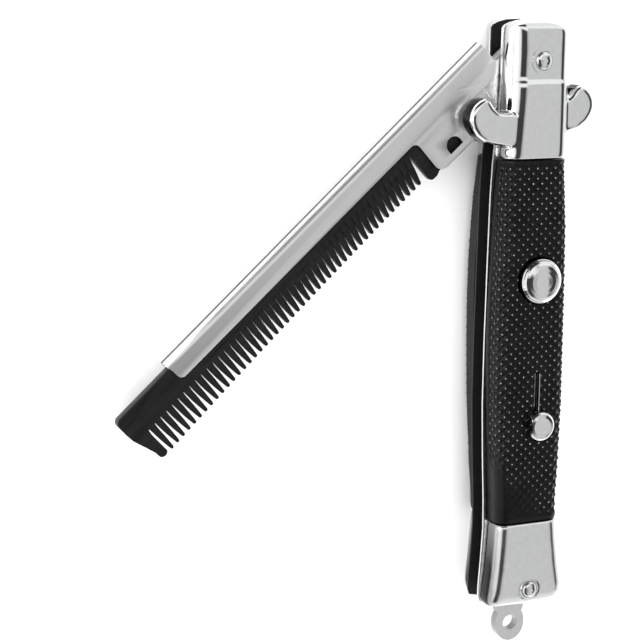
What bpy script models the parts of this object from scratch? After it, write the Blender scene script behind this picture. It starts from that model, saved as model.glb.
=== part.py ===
"""Folding comb: a comb that swings out of a slotted grip, with a button and a slide on the front.

Lengths in the tables are millimetres measured from the comb's pivot: x across the grip,
y up towards the pivot end, z out of the front face. Everything is scaled to metres as it
is built, and the grip is stood so that the flat of its back plate is at world z = 0.
"""
import math

import bmesh
import bpy
from mathutils import Matrix, Vector

MM = 0.001
BACK_FLAT = 8.4
PIVOT_ABOVE_ORIGIN = 56.0
PIVOT = Vector((0.0, PIVOT_ABOVE_ORIGIN * MM, BACK_FLAT * MM))
COMB_ANGLE = 48.03

SLOT_HALF = 2.05
LINER_FACE = 2.5
COVER_INNER = 2.8
PIN_RADIUS = 1.8
PIN_SHOULDER = 7.3
PIN_TOP = 7.95
PIN_CLEARANCE = 0.3
BUTTON_Y = -43.4
BUTTON_RADIUS = 4.5
BUTTON_HOLE_RADIUS = 4.85
SLIT_X = 0.3
SLIT_TOP = -62.1
SLIT_BOTTOM = -76.6
SLIT_HALF_WIDTH = 0.6
TRACK_HALF_WIDTH = 0.22
KNOB_Y = -73.0
KNOB_RADIUS = 3.0
KNOB_FLAT = 2.3
RIVET_X = 0.3
RIVET_Y = -108.5
RIVET_RADIUS = 1.7
LUG_CENTRE = (-0.4, -117.9)
LUG_REACH = 3.98
LUG_NARROWING = 0.85
LUG_HOLE_RADIUS = 1.6
GUARD_FACE = 7.3
GUARD_ROUND = 0.9

SPINE_OUT = 10.0
SPINE_FALL = 0.0043
SPINE_ROUND = 1.4
SHEET = 0.4
CHANNEL_HALF = 1.7
POCKET_TOP = 8.8
CHANNEL_LOW = 4.9
CHANNEL_END = 93.8
TANG_END = 6.0
TANG_RADIUS = 5.0
PLATE_LOW = -3.5
PLATE_END = 28.9
CORNER_ROUND = 1.1
PLASTIC_START = 15.0
PLASTIC_END = 108.4
PLASTIC_TOP = 8.0
PLASTIC_HALF = 1.0
TOOTH_COUNT = 47
FIRST_GAP = 31.55
LAST_GAP = 104.65
PITCH_GROWTH = 0.001
TOOTH_LEAN = 1.0
GROOVE_OUT = 3.9

for old in list(bpy.data.objects):
    bpy.data.objects.remove(old, do_unlink=True)

comb_parts = bpy.data.collections.new("folding_comb")
bpy.context.scene.collection.children.link(comb_parts)
cutters = bpy.data.collections.new("cutters")
bpy.context.scene.collection.children.link(cutters)


def material(name, colour, metallic, roughness):
    """A Principled material of one colour."""
    made = bpy.data.materials.new(name)
    made.use_nodes = True
    shader = made.node_tree.nodes["Principled BSDF"]
    shader.inputs["Base Color"].default_value = (*colour, 1.0)
    shader.inputs["Metallic"].default_value = metallic
    shader.inputs["Roughness"].default_value = roughness
    return made


def finish(obj, name, mat, smooth_angle=35.0):
    """Names an object, gives it a material and shades its round faces smooth."""
    obj.name = name
    obj.data.name = name
    obj.data.materials.clear()
    obj.data.materials.append(mat)
    obj.data.shade_smooth()
    obj.data.set_sharp_from_angle(angle=math.radians(smooth_angle))
    return obj


def place(mesh, name, collection=comb_parts):
    """Links a mesh as an object whose origin is on the comb's pivot axis."""
    obj = bpy.data.objects.new(name, mesh)
    collection.objects.link(obj)
    obj.location = PIVOT
    if collection is cutters:
        obj.hide_render = True
        obj.display_type = "WIRE"
    return obj


def extruded(name, loops, z_low, z_high, collection=comb_parts):
    """A flat outline, with any holes, extruded between two heights."""
    curve = bpy.data.curves.new(name, "CURVE")
    curve.dimensions = "2D"
    curve.fill_mode = "BOTH"
    curve.extrude = (z_high - z_low) * MM / 2.0
    for loop in loops:
        spline = curve.splines.new("POLY")
        spline.points.add(len(loop) - 1)
        for point, (x, y) in zip(spline.points, loop):
            point.co = (x * MM, y * MM, 0.0, 1.0)
        spline.use_cyclic_u = True
    holder = bpy.data.objects.new(name + "_curve", curve)
    comb_parts.objects.link(holder)
    bpy.context.view_layer.update()
    graph = bpy.context.evaluated_depsgraph_get()
    mesh = bpy.data.meshes.new_from_object(holder.evaluated_get(graph))
    bpy.data.objects.remove(holder, do_unlink=True)
    work = bmesh.new()
    work.from_mesh(mesh)
    bmesh.ops.remove_doubles(work, verts=work.verts, dist=0.000005)
    bmesh.ops.translate(work, verts=work.verts, vec=(0.0, 0.0, (z_low + z_high) * MM / 2.0))
    bmesh.ops.recalc_face_normals(work, faces=work.faces)
    work.to_mesh(mesh)
    work.free()
    return place(mesh, name, collection)


def arc(cx, cy, radius, start, end, steps):
    """Points of an arc, angles in degrees."""
    points = []
    for i in range(steps + 1):
        angle = math.radians(start + (end - start) * i / steps)
        points.append((cx + radius * math.cos(angle), cy + radius * math.sin(angle)))
    return points


def circle(cx, cy, radius, steps):
    """Points of a whole circle."""
    return arc(cx, cy, radius, 0.0, 360.0 * (steps - 1) / steps, steps - 1)


def turned(name, profile, cx, cy, steps=40, collection=comb_parts):
    """A solid turned about an upright axis; the profile runs from its top to its bottom."""
    mesh = bpy.data.meshes.new(name + "_profile")
    points = [(r * MM, 0.0, z * MM) for r, z in profile]
    mesh.from_pydata(points, [(i, i + 1) for i in range(len(points) - 1)], [])
    holder = bpy.data.objects.new(name + "_profile", mesh)
    comb_parts.objects.link(holder)
    screw = holder.modifiers.new("screw", "SCREW")
    screw.angle = math.radians(360.0)
    screw.steps = steps
    screw.render_steps = steps
    screw.use_merge_vertices = True
    screw.merge_threshold = 0.000005
    bpy.context.view_layer.update()
    graph = bpy.context.evaluated_depsgraph_get()
    solid = bpy.data.meshes.new_from_object(holder.evaluated_get(graph))
    bpy.data.objects.remove(holder, do_unlink=True)
    work = bmesh.new()
    work.from_mesh(solid)
    bmesh.ops.remove_doubles(work, verts=work.verts, dist=0.000005)
    bmesh.ops.translate(work, verts=work.verts, vec=(cx * MM, cy * MM, 0.0))
    bmesh.ops.recalc_face_normals(work, faces=work.faces)
    work.to_mesh(solid)
    work.free()
    return place(solid, name, collection)


def section(row, corner_steps):
    """One cross-section of a grip cover: up the left wall, over the face, down the right wall."""
    y, left, right, face, left_round, right_round = row
    points = [(-left, COVER_INNER), (-left, (COVER_INNER + face - left_round) / 2.0)]
    points += arc(-left + left_round, face - left_round, left_round, 180.0, 90.0, corner_steps)
    for part in (0.25, 0.5, 0.75):
        points.append((-left + left_round + (left + right - left_round - right_round) * part, face))
    points += arc(right - right_round, face - right_round, right_round, 90.0, 0.0, corner_steps)
    points.append((right, (COVER_INNER + face - right_round) / 2.0))
    points.append((right, COVER_INNER))
    return [Vector((x * MM, y * MM, z * MM)) for x, z in points]


def lofted(name, rows, corner_steps=6):
    """A closed solid through the cross-sections of the rows, capped at both ends."""
    work = bmesh.new()
    rings = []
    for row in rows:
        rings.append([work.verts.new(point) for point in section(row, corner_steps)])
    count = len(rings[0])
    for upper, lower in zip(rings, rings[1:]):
        for i in range(count):
            j = (i + 1) % count
            work.faces.new((upper[i], upper[j], lower[j], lower[i]))
    for ring in (rings[0], rings[-1]):
        middle = sum((vert.co for vert in ring), Vector()) / count
        hub = work.verts.new(middle)
        for i in range(count):
            work.faces.new((hub, ring[i], ring[(i + 1) % count]))
    bmesh.ops.recalc_face_normals(work, faces=work.faces)
    mesh = bpy.data.meshes.new(name)
    work.to_mesh(mesh)
    work.free()
    return place(mesh, name)


def apply_modifiers(obj):
    """Replaces an object's mesh with its evaluated one."""
    bpy.context.view_layer.update()
    graph = bpy.context.evaluated_depsgraph_get()
    mesh = bpy.data.meshes.new_from_object(obj.evaluated_get(graph))
    obj.modifiers.clear()
    obj.data = mesh


def combine(target, tool, operation):
    """An exact Boolean of one solid with another, which is then removed."""
    boolean = target.modifiers.new("boolean", "BOOLEAN")
    boolean.operation = operation
    boolean.solver = "EXACT"
    boolean.object = tool
    apply_modifiers(target)
    bpy.data.objects.remove(tool, do_unlink=True)
    work = bmesh.new()
    work.from_mesh(target.data)
    bmesh.ops.remove_doubles(work, verts=work.verts, dist=0.000004)
    work.to_mesh(target.data)
    work.free()


def rounded(obj, width, segments, angle=40.0):
    """Rounds an object's sharp edges."""
    bevel = obj.modifiers.new("bevel", "BEVEL")
    bevel.width = width * MM
    bevel.segments = segments
    bevel.limit_method = "ANGLE"
    bevel.angle_limit = math.radians(angle)
    bevel.use_clamp_overlap = True
    apply_modifiers(obj)


def crowned(obj, radius, steps):
    """Raises a slab's top by a radius, in rings that round its edge over."""
    work = bmesh.new()
    work.from_mesh(obj.data)
    bmesh.ops.dissolve_limit(work, angle_limit=math.radians(1.0), verts=work.verts[:],
                             edges=work.edges[:])
    top = max(work.faces, key=lambda face: face.calc_center_median().z)
    for i in range(steps):
        low = math.radians(90.0 * i / steps)
        high = math.radians(90.0 * (i + 1) / steps)
        bmesh.ops.inset_region(work, faces=[top], use_boundary=True, use_even_offset=True,
                               thickness=radius * (math.cos(low) - math.cos(high)) * MM)
        bmesh.ops.translate(work, verts=top.verts[:],
                            vec=(0.0, 0.0, radius * (math.sin(high) - math.sin(low)) * MM))
    bmesh.ops.triangulate(work, faces=[top])
    work.to_mesh(obj.data)
    work.free()


def turned_over(obj, name):
    """A copy of a front piece laid on the back: the same outline, mirrored front to back."""
    mesh = obj.data.copy()
    mesh.transform(Matrix.Scale(-1.0, 4, (0.0, 0.0, 1.0)))
    mesh.flip_normals()
    return place(mesh, name)


chrome = material("chrome", (0.86, 0.87, 0.88), 1.0, 0.08)
steel = material("polished_steel", (0.75, 0.76, 0.77), 1.0, 0.18)
grip_black = material("black_grip", (0.015, 0.015, 0.016), 0.0, 0.35)
comb_black = material("black_comb_plastic", (0.02, 0.02, 0.022), 0.0, 0.3)

# Sheet liners: the two walls of the slot.
LINER_LEFT = [(-3.3, 7.75), (-5.2, 7.3), (-6.3, 6.8), (-6.75, 6.2), (-6.8, 3.0), (-6.8, -4.0),
              (-7.0, -9.0), (-7.5, -14.0), (-8.1, -20.0), (-8.45, -27.0), (-8.7, -40.0),
              (-8.95, -56.0), (-9.0, -69.0), (-8.65, -80.0), (-8.2, -90.0), (-8.1, -96.0), (-8.5, -103.0),
              (-8.9, -108.5), (-8.9, -110.4), (-8.5, -111.6), (-5.0, -112.3)]
LINER_RIGHT = [(5.0, -112.4), (7.4, -111.5), (8.5, -110.2), (8.65, -108.0), (7.7, -101.0),
               (6.8, -93.5), (6.85, -80.0), (6.9, -69.0), (6.75, -56.0), (6.6, -40.0),
               (6.3, -27.0), (6.1, -19.0), (6.1, -4.0), (6.3, 3.0), (6.25, 5.7), (5.3, 6.5),
               (2.5, 7.45), (-0.6, 7.85)]
liner_outline = LINER_LEFT + LINER_RIGHT
pin_hole = circle(0.0, 0.0, PIN_RADIUS + PIN_CLEARANCE, 32)
front_liner = extruded("front_liner", [liner_outline, pin_hole], SLOT_HALF, LINER_FACE)
finish(front_liner, "front_liner", steel)
rear_liner = extruded("rear_liner", [liner_outline, pin_hole], -LINER_FACE, -SLOT_HALF)
finish(rear_liner, "rear_liner", steel)

# Spacer along the closed side of the slot.
SPACER_LEFT = [(4.95, -6.2), (4.95, -111.2)]
SPACER_RIGHT = [(7.0, -111.2), (8.0, -110.2), (8.3, -108.0), (7.4, -101.0), (6.5, -93.5),
                (6.55, -80.0), (6.6, -69.0), (6.45, -56.0), (6.3, -40.0), (6.0, -27.0),
                (5.9, -19.0), (5.9, -6.2)]
back_spacer = extruded("back_spacer", [SPACER_LEFT + SPACER_RIGHT],
                       -SLOT_HALF + 0.3, SLOT_HALF - 0.3)
finish(back_spacer, "back_spacer", steel)

# Lanyard lug: a ring plate with a thicker tongue held between the liners.
lug_ring = [(-4.5, -111.0), (-4.2, -112.4), (-3.8, -113.7)]
for x, y in arc(LUG_CENTRE[0], LUG_CENTRE[1], LUG_REACH, 145.0, 395.0, 38):
    lug_ring.append((LUG_CENTRE[0] + (x - LUG_CENTRE[0]) * LUG_NARROWING, y))
lug_ring += [(2.95, -113.9), (3.2, -113.0), (3.6, -112.3), (4.2, -111.0)]
lug_hole = circle(LUG_CENTRE[0], LUG_CENTRE[1], LUG_HOLE_RADIUS, 32)
lanyard_lug = extruded("lanyard_lug", [lug_ring, lug_hole], -1.05, 1.05)
rounded(lanyard_lug, 0.25, 2, 50.0)
tongue = extruded("tongue", [[(-5.0, -109.8), (-5.0, -111.7), (4.6, -111.7), (4.6, -109.8)]],
                  -SLOT_HALF + 0.3, SLOT_HALF - 0.3, cutters)
combine(lanyard_lug, tongue, "UNION")
finish(lanyard_lug, "lanyard_lug", chrome)

# Top bolsters: a raised block, a slightly lower cheek round the pin, and a curled guard each side.
TOP_BOLSTER = [
    (7.90, 3.2, 1.0, 5.6, 0.5, 0.5),
    (7.50, 4.7, 2.5, 6.4, 1.2, 1.0),
    (7.00, 5.8, 4.1, 6.9, 1.9, 1.5),
    (6.50, 6.35, 5.2, 7.15, 2.7, 1.8),
    (5.80, 6.5, 5.95, 7.3, 3.3, 2.0),
    (1.50, 6.6, 6.0, 7.35, 3.6, 2.1),
    (-3.40, 6.7, 6.0, 7.35, 3.6, 2.1),
    (-4.00, 6.75, 6.05, 7.55, 3.6, 2.2),
    (-4.60, 6.8, 6.1, 7.8, 3.6, 2.3),
    (-8.00, 6.9, 6.15, 7.85, 3.5, 2.4),
    (-12.0, 7.0, 6.2, 7.85, 3.3, 2.4),
    (-18.7, 7.1, 6.2, 7.8, 2.8, 2.4),
    (-19.2, 7.1, 6.2, 7.6, 2.6, 2.3),
]


def guard_outline(side, reach, lift):
    """A guard curled up at its end, seen from the front."""
    root = 4.6
    belly = [(root, -17.1), (reach - 5.2, -16.1), (reach - 3.3, -15.6), (reach - 1.6, -14.4),
             (reach - 0.5, -12.9), (reach, -11.4), (reach - 0.15, -9.9), (reach - 0.9, -8.5),
             (reach - 2.1, -7.5), (reach - 3.3, -7.0)]
    notch = [(reach - 4.2, -7.6), (reach - 5.1, -8.9), (reach - 6.3, -9.9), (root, -10.2)]
    return [(side * x, y + lift) for x, y in belly + notch]


def top_bolster():
    """The front bolster; the back one is its mirror."""
    body = lofted("front_top_bolster", TOP_BOLSTER, 7)
    for side, reach, lift in ((-1.0, 15.6, 0.0), (1.0, 11.95, 2.2)):
        guard = extruded("guard", [guard_outline(side, reach, lift)], COVER_INNER + 0.15,
                         GUARD_FACE - GUARD_ROUND, cutters)
        crowned(guard, GUARD_ROUND, 4)
        combine(body, guard, "UNION")
    bore = extruded("bore", [pin_hole], 0.0, 12.0, cutters)
    combine(body, bore, "DIFFERENCE")
    return body


front_top = top_bolster()
finish(turned_over(front_top, "rear_top_bolster"), "rear_top_bolster", chrome)
finish(front_top, "front_top_bolster", chrome)

# Grip scales between the bolsters.
SCALE = [
    (-19.5, 7.15, 6.2, 7.75, 2.6, 2.6),
    (-20.2, 7.3, 6.25, 7.95, 2.8, 2.8),
    (-23.5, 7.6, 6.4, 8.15, 2.9, 2.9),
    (-27.0, 7.9, 6.6, 8.3, 3.0, 3.0),
    (-33.0, 8.15, 6.9, 8.4, 3.0, 3.0),
    (-40.0, 8.4, 7.05, 8.4, 3.0, 3.0),
    (-48.0, 8.7, 7.15, 8.4, 3.0, 3.0),
    (-56.0, 8.85, 7.2, 8.4, 3.0, 3.0),
    (-62.0, 8.75, 7.25, 8.4, 3.0, 3.0),
    (-69.0, 8.5, 7.3, 8.4, 3.0, 3.0),
    (-76.0, 8.2, 7.15, 8.4, 3.0, 3.0),
    (-84.0, 7.8, 6.95, 8.3, 2.9, 2.9),
    (-89.0, 7.5, 6.8, 8.05, 2.8, 2.8),
    (-92.9, 7.35, 6.85, 7.8, 2.6, 2.6),
    (-93.8, 7.3, 6.85, 7.5, 2.5, 2.5),
]
front_scale = lofted("front_scale", SCALE, 7)


# The back covers follow their own line on the open side of the slot.
REAR_SCALE_LEFT = (7.15, 7.3, 7.55, 7.95, 8.35, 8.7, 8.85, 8.75, 8.6, 8.4, 7.95, 7.35, 6.95, 6.8, 6.75)


def rear_rows(rows, lefts, left_round):
    """The rows of a front cover changed for the back."""
    changed = []
    for (y, _, right, face, _, right_round), left in zip(rows, lefts):
        changed.append((y, left, right, face, min(left_round, face - COVER_INNER - 0.3), right_round))
    return changed


def turned_cover(name, body, mat):
    """Turns a cover drawn face up over, on to the back."""
    finish(turned_over(body, name), name, mat)
    bpy.data.objects.remove(body, do_unlink=True)


turned_cover("rear_scale", lofted("rear_scale_up", rear_rows(SCALE, REAR_SCALE_LEFT, 3.0), 7), grip_black)
button_hole = extruded("button_hole", [circle(0.0, BUTTON_Y, BUTTON_HOLE_RADIUS, 56)],
                       0.0, 12.0, cutters)
combine(front_scale, button_hole, "DIFFERENCE")
slit_outline = arc(SLIT_X, SLIT_TOP - SLIT_HALF_WIDTH, SLIT_HALF_WIDTH, 0.0, 180.0, 8)
slit_outline += arc(SLIT_X, SLIT_BOTTOM + SLIT_HALF_WIDTH, SLIT_HALF_WIDTH, 180.0, 360.0, 8)
slit = extruded("slit", [slit_outline], 0.0, 12.0, cutters)
combine(front_scale, slit, "DIFFERENCE")
finish(front_scale, "front_scale", grip_black)

# Bottom bolsters, flared, with rounded lower corners.
BOTTOM_BOLSTER = [
    (-94.1, 7.3, 6.8, 7.4, 2.2, 2.2),
    (-94.7, 7.4, 6.9, 7.7, 2.4, 2.4),
    (-98.0, 7.6, 7.15, 7.8, 2.4, 2.4),
    (-104.0, 8.05, 7.9, 7.8, 2.4, 2.4),
    (-108.2, 8.5, 8.65, 7.7, 2.4, 2.4),
    (-109.6, 8.65, 8.7, 7.5, 2.3, 2.3),
    (-110.8, 8.6, 8.1, 7.1, 2.0, 2.0),
    (-111.7, 8.1, 7.0, 6.4, 1.6, 1.6),
    (-112.3, 5.0, 5.6, 5.5, 1.0, 1.0),
]


def bottom_bolster(name, rows):
    """A flared end piece with the hole for its rivet."""
    body = lofted(name, rows, 7)
    rivet_hole = extruded("rivet_hole", [circle(RIVET_X, RIVET_Y, RIVET_RADIUS + PIN_CLEARANCE, 32)],
                          0.0, 12.0, cutters)
    combine(body, rivet_hole, "DIFFERENCE")
    return body


rear_bolster_left = [row[1] - 0.6 for row in BOTTOM_BOLSTER]
turned_cover("rear_bottom_bolster",
             bottom_bolster("rear_bottom_up", rear_rows(BOTTOM_BOLSTER, rear_bolster_left, 3.2)), chrome)
front_bottom = bottom_bolster("front_bottom_bolster", BOTTOM_BOLSTER)
finish(front_bottom, "front_bottom_bolster", chrome)


def half_dome(radius, shoulder, top, steps=5):
    """Profile of a low dome, from its crown out to its shoulder."""
    points = []
    for i in range(steps + 1):
        angle = math.radians(90.0 * i / steps)
        points.append((radius * math.sin(angle), shoulder + (top - shoulder) * math.cos(angle)))
    return points


pin_profile = half_dome(PIN_RADIUS, PIN_SHOULDER, PIN_TOP)
pin_profile += [(r, -z) for r, z in reversed(pin_profile)]
finish(turned("pivot_pin", pin_profile, 0.0, 0.0, 36), "pivot_pin", chrome)

rivet_profile = half_dome(RIVET_RADIUS, 7.6, 8.3) + [(RIVET_RADIUS, COVER_INNER), (0.0, COVER_INNER)]
front_rivet = turned("front_bottom_rivet", rivet_profile, RIVET_X, RIVET_Y, 36)
finish(turned_over(front_rivet, "rear_bottom_rivet"), "rear_bottom_rivet", chrome)
finish(front_rivet, "front_bottom_rivet", chrome)

# Button, domed, in the front scale; its foot is above the liner by more than its travel.
button_profile = half_dome(BUTTON_RADIUS - 0.25, 9.3, 10.5, 7)
button_profile += [(BUTTON_RADIUS - 0.05, 9.15), (BUTTON_RADIUS, 8.95), (BUTTON_RADIUS, 4.2), (0.0, 4.2)]
push_button = turned("push_button", button_profile, 0.0, 0.0, 48)
push_button.location = PIVOT + Vector((0.0, BUTTON_Y * MM, 0.0))
finish(push_button, "push_button", chrome)

# Slide: a thin track standing in the slit and the knob that runs above it.
track_left, track_right = SLIT_X - TRACK_HALF_WIDTH, SLIT_X + TRACK_HALF_WIDTH
track = extruded("slide_track", [[(track_left, SLIT_TOP - 0.6), (track_left, SLIT_BOTTOM + 0.6),
                                  (track_right, SLIT_BOTTOM + 0.6), (track_right, SLIT_TOP - 0.6)]],
                 COVER_INNER, 7.0)
finish(track, "slide_track", steel)
knob_profile = [(0.0, 10.95), (1.9, 10.9), (2.55, 10.72), (2.9, 10.4), (KNOB_RADIUS, 10.0),
                (KNOB_RADIUS, 9.1), (2.85, 8.85), (2.6, 8.75), (0.0, 8.75)]
slide_knob = turned("slide_knob", knob_profile, 0.0, 0.0, 40)
neck = extruded("neck", [[(-0.3, 1.3), (-0.3, -1.3), (0.3, -1.3), (0.3, 1.3)]], 7.35, 9.4, cutters)
flat_side = extruded("flat_side", [[(-4.0, 4.0), (-4.0, -4.0), (-KNOB_FLAT, -4.0), (-KNOB_FLAT, 4.0)]],
                     8.0, 12.0, cutters)
combine(slide_knob, flat_side, "DIFFERENCE")
combine(slide_knob, neck, "UNION")
slide_knob.location = PIVOT + Vector((SLIT_X * MM, KNOB_Y * MM, 0.0))
finish(slide_knob, "slide_knob", chrome)


# The comb is drawn with its first axis along the comb from the pivot and its second towards
# the tooth tips, so a distance above the comb's middle line is negative here.
def comb_point(along, out):
    """A point of the comb: distance from the pivot and height towards the spine."""
    return (along, -out)


def comb_plate(name, extra, holes, z_low, z_high, collection):
    """An outline of the comb given as (along, towards spine) points."""
    loops = [[comb_point(a, o) for a, o in extra]]
    for hole in holes:
        loops.append([comb_point(a, o) for a, o in hole])
    return extruded(name, loops, z_low, z_high, collection)


tang = [(-a, o) for a, o in arc(0.0, 0.0, TANG_RADIUS, -44.4, 90.0, 20)]
side_sheet = [(TANG_END - 0.5, TANG_RADIUS), (TANG_END, TANG_RADIUS + 0.5), (TANG_END, SPINE_OUT + 1.0),
              (CHANNEL_END, SPINE_OUT + 1.0), (CHANNEL_END, CHANNEL_LOW + CORNER_ROUND)]
side_sheet += arc(CHANNEL_END - CORNER_ROUND, CHANNEL_LOW + CORNER_ROUND, CORNER_ROUND, 0.0, -90.0, 5)
side_sheet += arc(PLATE_END + CORNER_ROUND, CHANNEL_LOW - CORNER_ROUND, CORNER_ROUND, 90.0, 180.0, 5)
side_sheet += [(PLATE_END, PLATE_LOW + 2.0)]
side_sheet += arc(PLATE_END - 2.0, PLATE_LOW + 2.0, 2.0, 0.0, -90.0, 6)
side_sheet += [(0.0, PLATE_LOW)]
outline = tang + side_sheet
# The eyelet: round towards the spine, flat towards the edge.
eyelet = [(21.4, -2.2), (24.9, -2.2)] + arc(23.15, -1.35, 1.75, -10.0, 190.0, 18)
bore = circle(0.0, 0.0, PIN_RADIUS + PIN_CLEARANCE, 32)
channel = comb_plate("comb_channel", outline, [eyelet, bore], -CHANNEL_HALF, CHANNEL_HALF, comb_parts)
# The fold of the sheet: a long prism whose top is round, falling slightly towards the far end.
round_half = CHANNEL_HALF + 0.02
fold_top = arc(round_half - SPINE_ROUND, SPINE_OUT - SPINE_ROUND, SPINE_ROUND, 0.0, 90.0, 7)
fold_top += [(-z, out) for z, out in reversed(fold_top)]
fold = extruded("fold", [[(-round_half, -9.0), (round_half, -9.0)] + fold_top], -8.0, 97.0, cutters)
fold.data.transform(Matrix(((0.0, 0.0, 1.0, 0.0), (0.0, -1.0, SPINE_FALL, 0.0),
                            (1.0, 0.0, 0.0, 0.0), (0.0, 0.0, 0.0, 1.0))))
combine(channel, fold, "INTERSECT")
pocket_outline = [(PLASTIC_START - 0.4, POCKET_TOP), (CHANNEL_END + 3.0, POCKET_TOP),
                  (CHANNEL_END + 3.0, -8.0), (PLASTIC_START - 0.4, -8.0)]
pocket = comb_plate("pocket", pocket_outline, [], -CHANNEL_HALF + SHEET, CHANNEL_HALF - SHEET, cutters)
combine(channel, pocket, "DIFFERENCE")
finish(channel, "comb_channel", steel)

# Plastic comb: a body with fine teeth, a wide tooth at each end and a groove above the roots.
# The teeth fan: upright at the far end, leaning that way at the near end, on a curved line.
def gap_at(number):
    """Distance from the pivot to the root of a gap; the gaps lie closer towards the pivot."""
    even = (LAST_GAP - FIRST_GAP) / TOOTH_COUNT
    return FIRST_GAP + even * number - PITCH_GROWTH * number * (TOOTH_COUNT - number)


def root_out(along):
    """Height of the roots."""
    part = (along - FIRST_GAP) / (LAST_GAP - FIRST_GAP)
    return 3.5 - 1.5 * part * part


def tip_out(along):
    """Height of the tips."""
    part = (along - FIRST_GAP) / (LAST_GAP - FIRST_GAP)
    return -2.5 - 0.35 * part - 1.4 * part * part


def lean(along):
    """How far a tip is beyond its root."""
    part = min(1.0, max(0.0, (along - 40.0) / 52.0))
    return TOOTH_LEAN * 0.5 * (1.0 + math.cos(math.pi * part))


edge = [(PLASTIC_START, PLATE_LOW + 0.2), (PLASTIC_START, PLASTIC_TOP), (CHANNEL_END + 0.5, PLASTIC_TOP),
        (PLASTIC_END - 1.3, 7.9), (PLASTIC_END - 0.4, 7.5), (PLASTIC_END - 0.05, 6.8), (PLASTIC_END, 6.0),
        (PLASTIC_END, 3.6), (PLASTIC_END - 0.35, 1.9), (PLASTIC_END - 1.6, -2.5),
        (PLASTIC_END - 1.95, -3.7), (PLASTIC_END - 2.5, -4.2), (PLASTIC_END - 3.2, -4.1),
        (PLASTIC_END - 3.45, -3.5), (LAST_GAP + 0.16, root_out(LAST_GAP))]
for number in range(TOOTH_COUNT, 0, -1):
    near, far = gap_at(number - 1), gap_at(number)
    tip = (near + far) / 2.0 + lean(near)
    low = tip_out(near)
    edge.append((far - 0.12, root_out(far)))
    edge.append((tip + 0.38, low + 0.4))
    edge.append((tip + 0.2, low))
    edge.append((tip - 0.2, low))
    edge.append((tip - 0.38, low + 0.4))
    edge.append((near + 0.12, root_out(near)))
edge += [(FIRST_GAP - 0.12, root_out(FIRST_GAP)), (FIRST_GAP - 0.5, -3.3), (FIRST_GAP - 0.9, -3.75),
         (FIRST_GAP - 2.0, -3.75), (FIRST_GAP - 2.6, -3.4), (FIRST_GAP - 3.0, PLATE_LOW + 0.2)]
teeth = comb_plate("comb_teeth", edge, [], -PLASTIC_HALF, PLASTIC_HALF, comb_parts)
work = bmesh.new()
work.from_mesh(teeth.data)
for level in (GROOVE_OUT + 0.3, GROOVE_OUT, GROOVE_OUT - 0.3):
    bmesh.ops.bisect_plane(work, geom=work.verts[:] + work.edges[:] + work.faces[:],
                           plane_co=(0.0, -level * MM, 0.0), plane_no=(0.0, 1.0, 0.0), dist=0.000002)
thin_from = GROOVE_OUT - 0.3
for vert in work.verts:
    out = -vert.co.y / MM
    half = PLASTIC_HALF
    if abs(out - GROOVE_OUT) < 0.05:
        half = PLASTIC_HALF - 0.22
    elif out < thin_from + 0.05:
        half = PLASTIC_HALF - 0.08 - 0.42 * (thin_from - min(out, thin_from)) / (thin_from + 4.2)
    vert.co.z = math.copysign(half * MM, vert.co.z)
bmesh.ops.recalc_face_normals(work, faces=work.faces)
work.to_mesh(teeth.data)
work.free()
finish(teeth, "comb_teeth", comb_black, 25.0)

for piece in (channel, teeth):
    piece.rotation_euler = (0.0, 0.0, math.radians(-90.0 - COMB_ANGLE))

for spare in list(cutters.objects):
    bpy.data.objects.remove(spare, do_unlink=True)
bpy.context.view_layer.update()
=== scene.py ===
import math

import bmesh
import bpy
import numpy as np
from mathutils import Matrix, Vector


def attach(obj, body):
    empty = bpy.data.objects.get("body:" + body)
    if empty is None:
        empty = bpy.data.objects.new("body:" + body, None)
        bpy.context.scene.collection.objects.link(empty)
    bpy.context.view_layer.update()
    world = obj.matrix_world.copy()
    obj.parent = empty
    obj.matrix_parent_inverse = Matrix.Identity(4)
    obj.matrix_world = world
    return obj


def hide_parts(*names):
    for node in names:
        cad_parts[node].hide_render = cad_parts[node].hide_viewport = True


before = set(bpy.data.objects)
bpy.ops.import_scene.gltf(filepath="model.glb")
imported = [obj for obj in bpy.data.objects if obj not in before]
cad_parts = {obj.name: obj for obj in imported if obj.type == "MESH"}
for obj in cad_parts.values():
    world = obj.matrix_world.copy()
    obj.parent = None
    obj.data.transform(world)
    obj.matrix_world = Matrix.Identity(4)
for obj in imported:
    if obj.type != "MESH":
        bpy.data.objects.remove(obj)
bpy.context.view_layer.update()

# Pieces are drawn in mm from the pivot: x to the right, y up the grip, z to the front.
MM = 0.001
PIVOT = Vector((0.0, 0.056, 0.0084))
COMB_SWING = 48.03
COMB_TURN = math.radians(-90.0 - COMB_SWING)


# Materials.

MIX_FACTOR = 0
MIX_FIRST = 6
MIX_SECOND = 7
MIX_RESULT = 2
EVEN = (1.0, 1.0, 1.0)
LINES_ALONG_X = (60.0, 2600.0, 2600.0)
LINES_ALONG_Y = (2600.0, 60.0, 2600.0)
HAIR_LINES = (3000.0, 90.0, 3000.0)
HAIR_TURN = 0.35
FLOW_LINES = (160.0, 900.0, 900.0)


def new_material(name):
    """A node material with its shader."""
    mat = bpy.data.materials.new(name)
    mat.use_nodes = True
    tree = mat.node_tree
    shader = tree.nodes["Principled BSDF"]
    return mat, tree, shader


def node(tree, kind, **settings):
    """A shader node with its properties set."""
    made = tree.nodes.new(kind)
    for key, value in settings.items():
        setattr(made, key, value)
    return made


def mapped(tree, scale, turn=0.0):
    """Object coordinates, turned about z and scaled on each axis."""
    coords = node(tree, "ShaderNodeTexCoord")
    mapping = node(tree, "ShaderNodeMapping")
    mapping.inputs["Scale"].default_value = scale
    mapping.inputs["Rotation"].default_value = (0.0, 0.0, turn)
    tree.links.new(coords.outputs["Object"], mapping.inputs["Vector"])
    return mapping.outputs["Vector"]


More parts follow.
